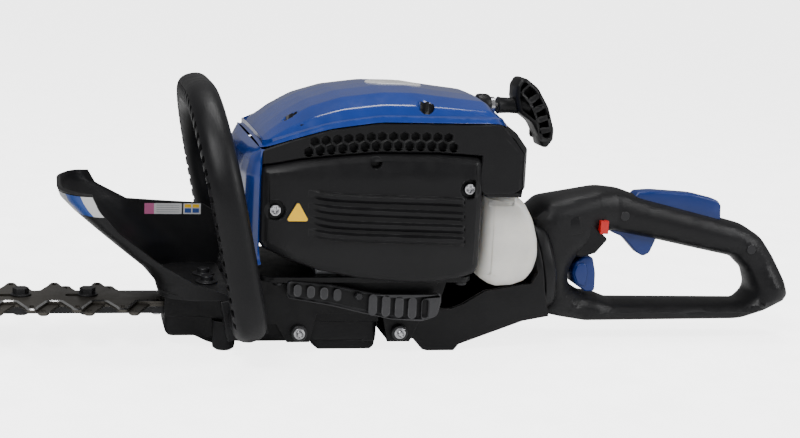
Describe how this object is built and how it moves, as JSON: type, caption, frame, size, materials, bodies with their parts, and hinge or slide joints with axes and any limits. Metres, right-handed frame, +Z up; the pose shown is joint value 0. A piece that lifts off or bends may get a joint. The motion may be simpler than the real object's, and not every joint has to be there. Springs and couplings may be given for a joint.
{
  "type": "petrol hedge trimmer",
  "caption": "Petrol hedge trimmer with reciprocating double-sided blades, blade guard, looped front handle and turning rear handle with throttle.",
  "frame": {"origin": "foot of the vertical crankshaft's axis, on the flat underside of the gear case that the tool rests on", "axes": "+X from the blade's tip toward the rear handle, +Z up along the crankshaft, +Y toward the side with the air filter"},
  "size_m": [1.178, 0.234, 0.22],
  "materials": {
    "blade_steel": "satin",
    "dark_steel": "satin",
    "bright_steel": "satin",
    "casting": "satin",
    "black_casting": "satin",
    "black_plastic": "matte",
    "grip_plastic": "satin",
    "blue_plastic": "gloss",
    "lever_plastic": "satin",
    "red_plastic": "satin",
    "tank_plastic": "satin",
    "lining": "matte",
    "bulb_rubber": "satin",
    "filter_foam": "matte",
    "pulley_plastic": "satin"
  },
  "bodies": {
    "frame": {"guide_bar": "dark_steel", "blade_bolts": "dark_steel", "gear_case": "black_casting", "gear_cover": "black_casting", "case_screws": "bright_steel", "cam_bearings": "bright_steel", "drum_bearings": "bright_steel", "blade_guard": "black_plastic", "guard_screws": "dark_steel", "front_handle": "grip_plastic", "loop_clamps": "black_casting", "chassis": "black_plastic", "chassis_screws": "bright_steel", "heat_guard": "dark_steel", "rear_arm": "black_plastic", "av_mounts": "bright_steel", "crankcase": "casting", "crank_bearings": "bright_steel", "engine_cylinder": "casting", "spark_plug": "tank_plastic", "plug_cap": "black_plastic", "ignition_coil": "black_plastic", "muffler": "dark_steel", "intake_stub": "black_plastic", "carburettor": "casting", "air_filter": "filter_foam", "fuel_tank": "tank_plastic", "fan_shroud": "black_plastic", "top_cover": "blue_plastic", "front_cover": "blue_plastic", "side_cover": "black_plastic", "filter_cover": "black_plastic", "cover_screws": "bright_steel", "starter_plate": "black_plastic", "rope_ferrule": "bright_steel"},
    "upper_blade": {"upper_blade": "blade_steel", "upper_yoke": "bright_steel"},
    "lower_blade": {"lower_blade": "blade_steel", "lower_yoke": "bright_steel"},
    "cam_gear": {"cam_gear": "bright_steel"},
    "clutch_drum": {"clutch_drum": "bright_steel"},
    "crankshaft": {"crankshaft": "bright_steel", "flywheel": "casting", "clutch_shoes": "lining"},
    "piston": {"piston": "casting", "piston_pin": "bright_steel"},
    "con_rod": {"con_rod": "casting"},
    "pulley": {"starter_pulley": "pulley_plastic"},
    "starter_handle": {"starter_handle": "black_plastic"},
    "fuel_cap": {"fuel_cap": "black_plastic"},
    "choke_lever": {"choke_lever": "red_plastic"},
    "primer_bulb": {"primer_bulb": "bulb_rubber"},
    "rear_handle": {"handle_near": "grip_plastic", "handle_far": "grip_plastic", "handle_screws": "bright_steel", "swivel_pin": "bright_steel"},
    "trigger": {"throttle_trigger": "lever_plastic"},
    "lockout": {"lockout_lever": "lever_plastic"},
    "stop_switch": {"stop_switch": "red_plastic"},
    "turn_latch": {"turn_latch": "lever_plastic"}
  },
  "joints": [
    {"name": "upper_blade_slide", "type": "slide", "parent": "frame", "child": "upper_blade", "axis": [1, 0, 0], "range_m": [-0.00425, 0.01325]},
    {"name": "lower_blade_slide", "type": "slide", "parent": "frame", "child": "lower_blade", "axis": [1, 0, 0], "range_m": [-0.01325, 0.00425]},
    {"name": "crank_spin", "type": "hinge", "parent": "frame", "child": "crankshaft", "pos_m": [0, 0, 0.15], "axis": [0, 0, 1], "continuous": true},
    {"name": "drum_spin", "type": "hinge", "parent": "frame", "child": "clutch_drum", "pos_m": [0, 0, 0.05], "axis": [0, 0, 1], "continuous": true},
    {"name": "cam_spin", "type": "hinge", "parent": "frame", "child": "cam_gear", "pos_m": [-0.03875, 0, 0.02], "axis": [0, 0, 1], "continuous": true},
    {"name": "piston_slide", "type": "slide", "parent": "frame", "child": "piston", "axis": [1, 0, 0], "range_m": [-0.026, 0]},
    {"name": "con_rod_swing", "type": "hinge", "parent": "piston", "child": "con_rod", "pos_m": [0.053, 0, 0.112], "axis": [0, 0, 1], "range_deg": [-19, 19]},
    {"name": "starter_pull", "type": "slide", "parent": "frame", "child": "starter_handle", "axis": [1, 0, 0], "range_m": [0, 0.5], "stiffness_N_per_m": 30, "springref_m": -0.3},
    {"name": "pulley_spin", "type": "hinge", "parent": "frame", "child": "pulley", "pos_m": [0, 0, 0.194], "axis": [0, 0, 1], "range_deg": [0, 1024]},
    {"name": "fuel_cap_turn", "type": "hinge", "parent": "frame", "child": "fuel_cap", "pos_m": [0.122, 0.07, 0.098], "axis": [0, 1, 0], "range_deg": [0, 150]},
    {"name": "choke_turn", "type": "hinge", "parent": "frame", "child": "choke_lever", "pos_m": [0.016, 0.07, 0.082], "axis": [0, 1, 0], "range_deg": [0, 60]},
    {"name": "primer_push", "type": "slide", "parent": "frame", "child": "primer_bulb", "axis": [0, -1, 0], "range_m": [0, 0.004], "stiffness_N_per_m": 900},
    {"name": "handle_turn", "type": "hinge", "parent": "frame", "child": "rear_handle", "pos_m": [0.1575, 0, 0.064], "axis": [0.9848, 0, 0.1736], "range_deg": [-90, 90]},
    {"name": "throttle_squeeze", "type": "hinge", "parent": "rear_handle", "child": "trigger", "pos_m": [0.23, 0, 0.095], "axis": [0, -1, 0], "range_deg": [0, 15], "stiffness_Nm_per_rad": 0.8, "springref_deg": -8.59},
    {"name": "lockout_press", "type": "hinge", "parent": "rear_handle", "child": "lockout", "pos_m": [0.248, 0, 0.113], "axis": [0, 1, 0], "range_deg": [0, 7], "stiffness_Nm_per_rad": 1.2, "springref_deg": -8.59},
    {"name": "stop_rock", "type": "hinge", "parent": "rear_handle", "child": "stop_switch", "pos_m": [0.212, -0.0215, 0.098], "axis": [0, 0, 1], "range_deg": [-7, 7]},
    {"name": "latch_pull", "type": "hinge", "parent": "rear_handle", "child": "turn_latch", "pos_m": [0.2, 0, 0.066], "axis": [0, -1, 0], "range_deg": [0, 13], "stiffness_Nm_per_rad": 1, "springref_deg": -8.59}
  ],
  "couplings": [
    {"joint": "lower_blade_slide", "follows": "upper_blade_slide", "ratio": -1},
    {"joint": "drum_spin", "follows": "crank_spin", "ratio": 1},
    {"joint": "cam_spin", "follows": "crank_spin", "ratio": -0.24},
    {"joint": "pulley_spin", "follows": "starter_pull", "rad_per_m": 35.714}
  ]
}
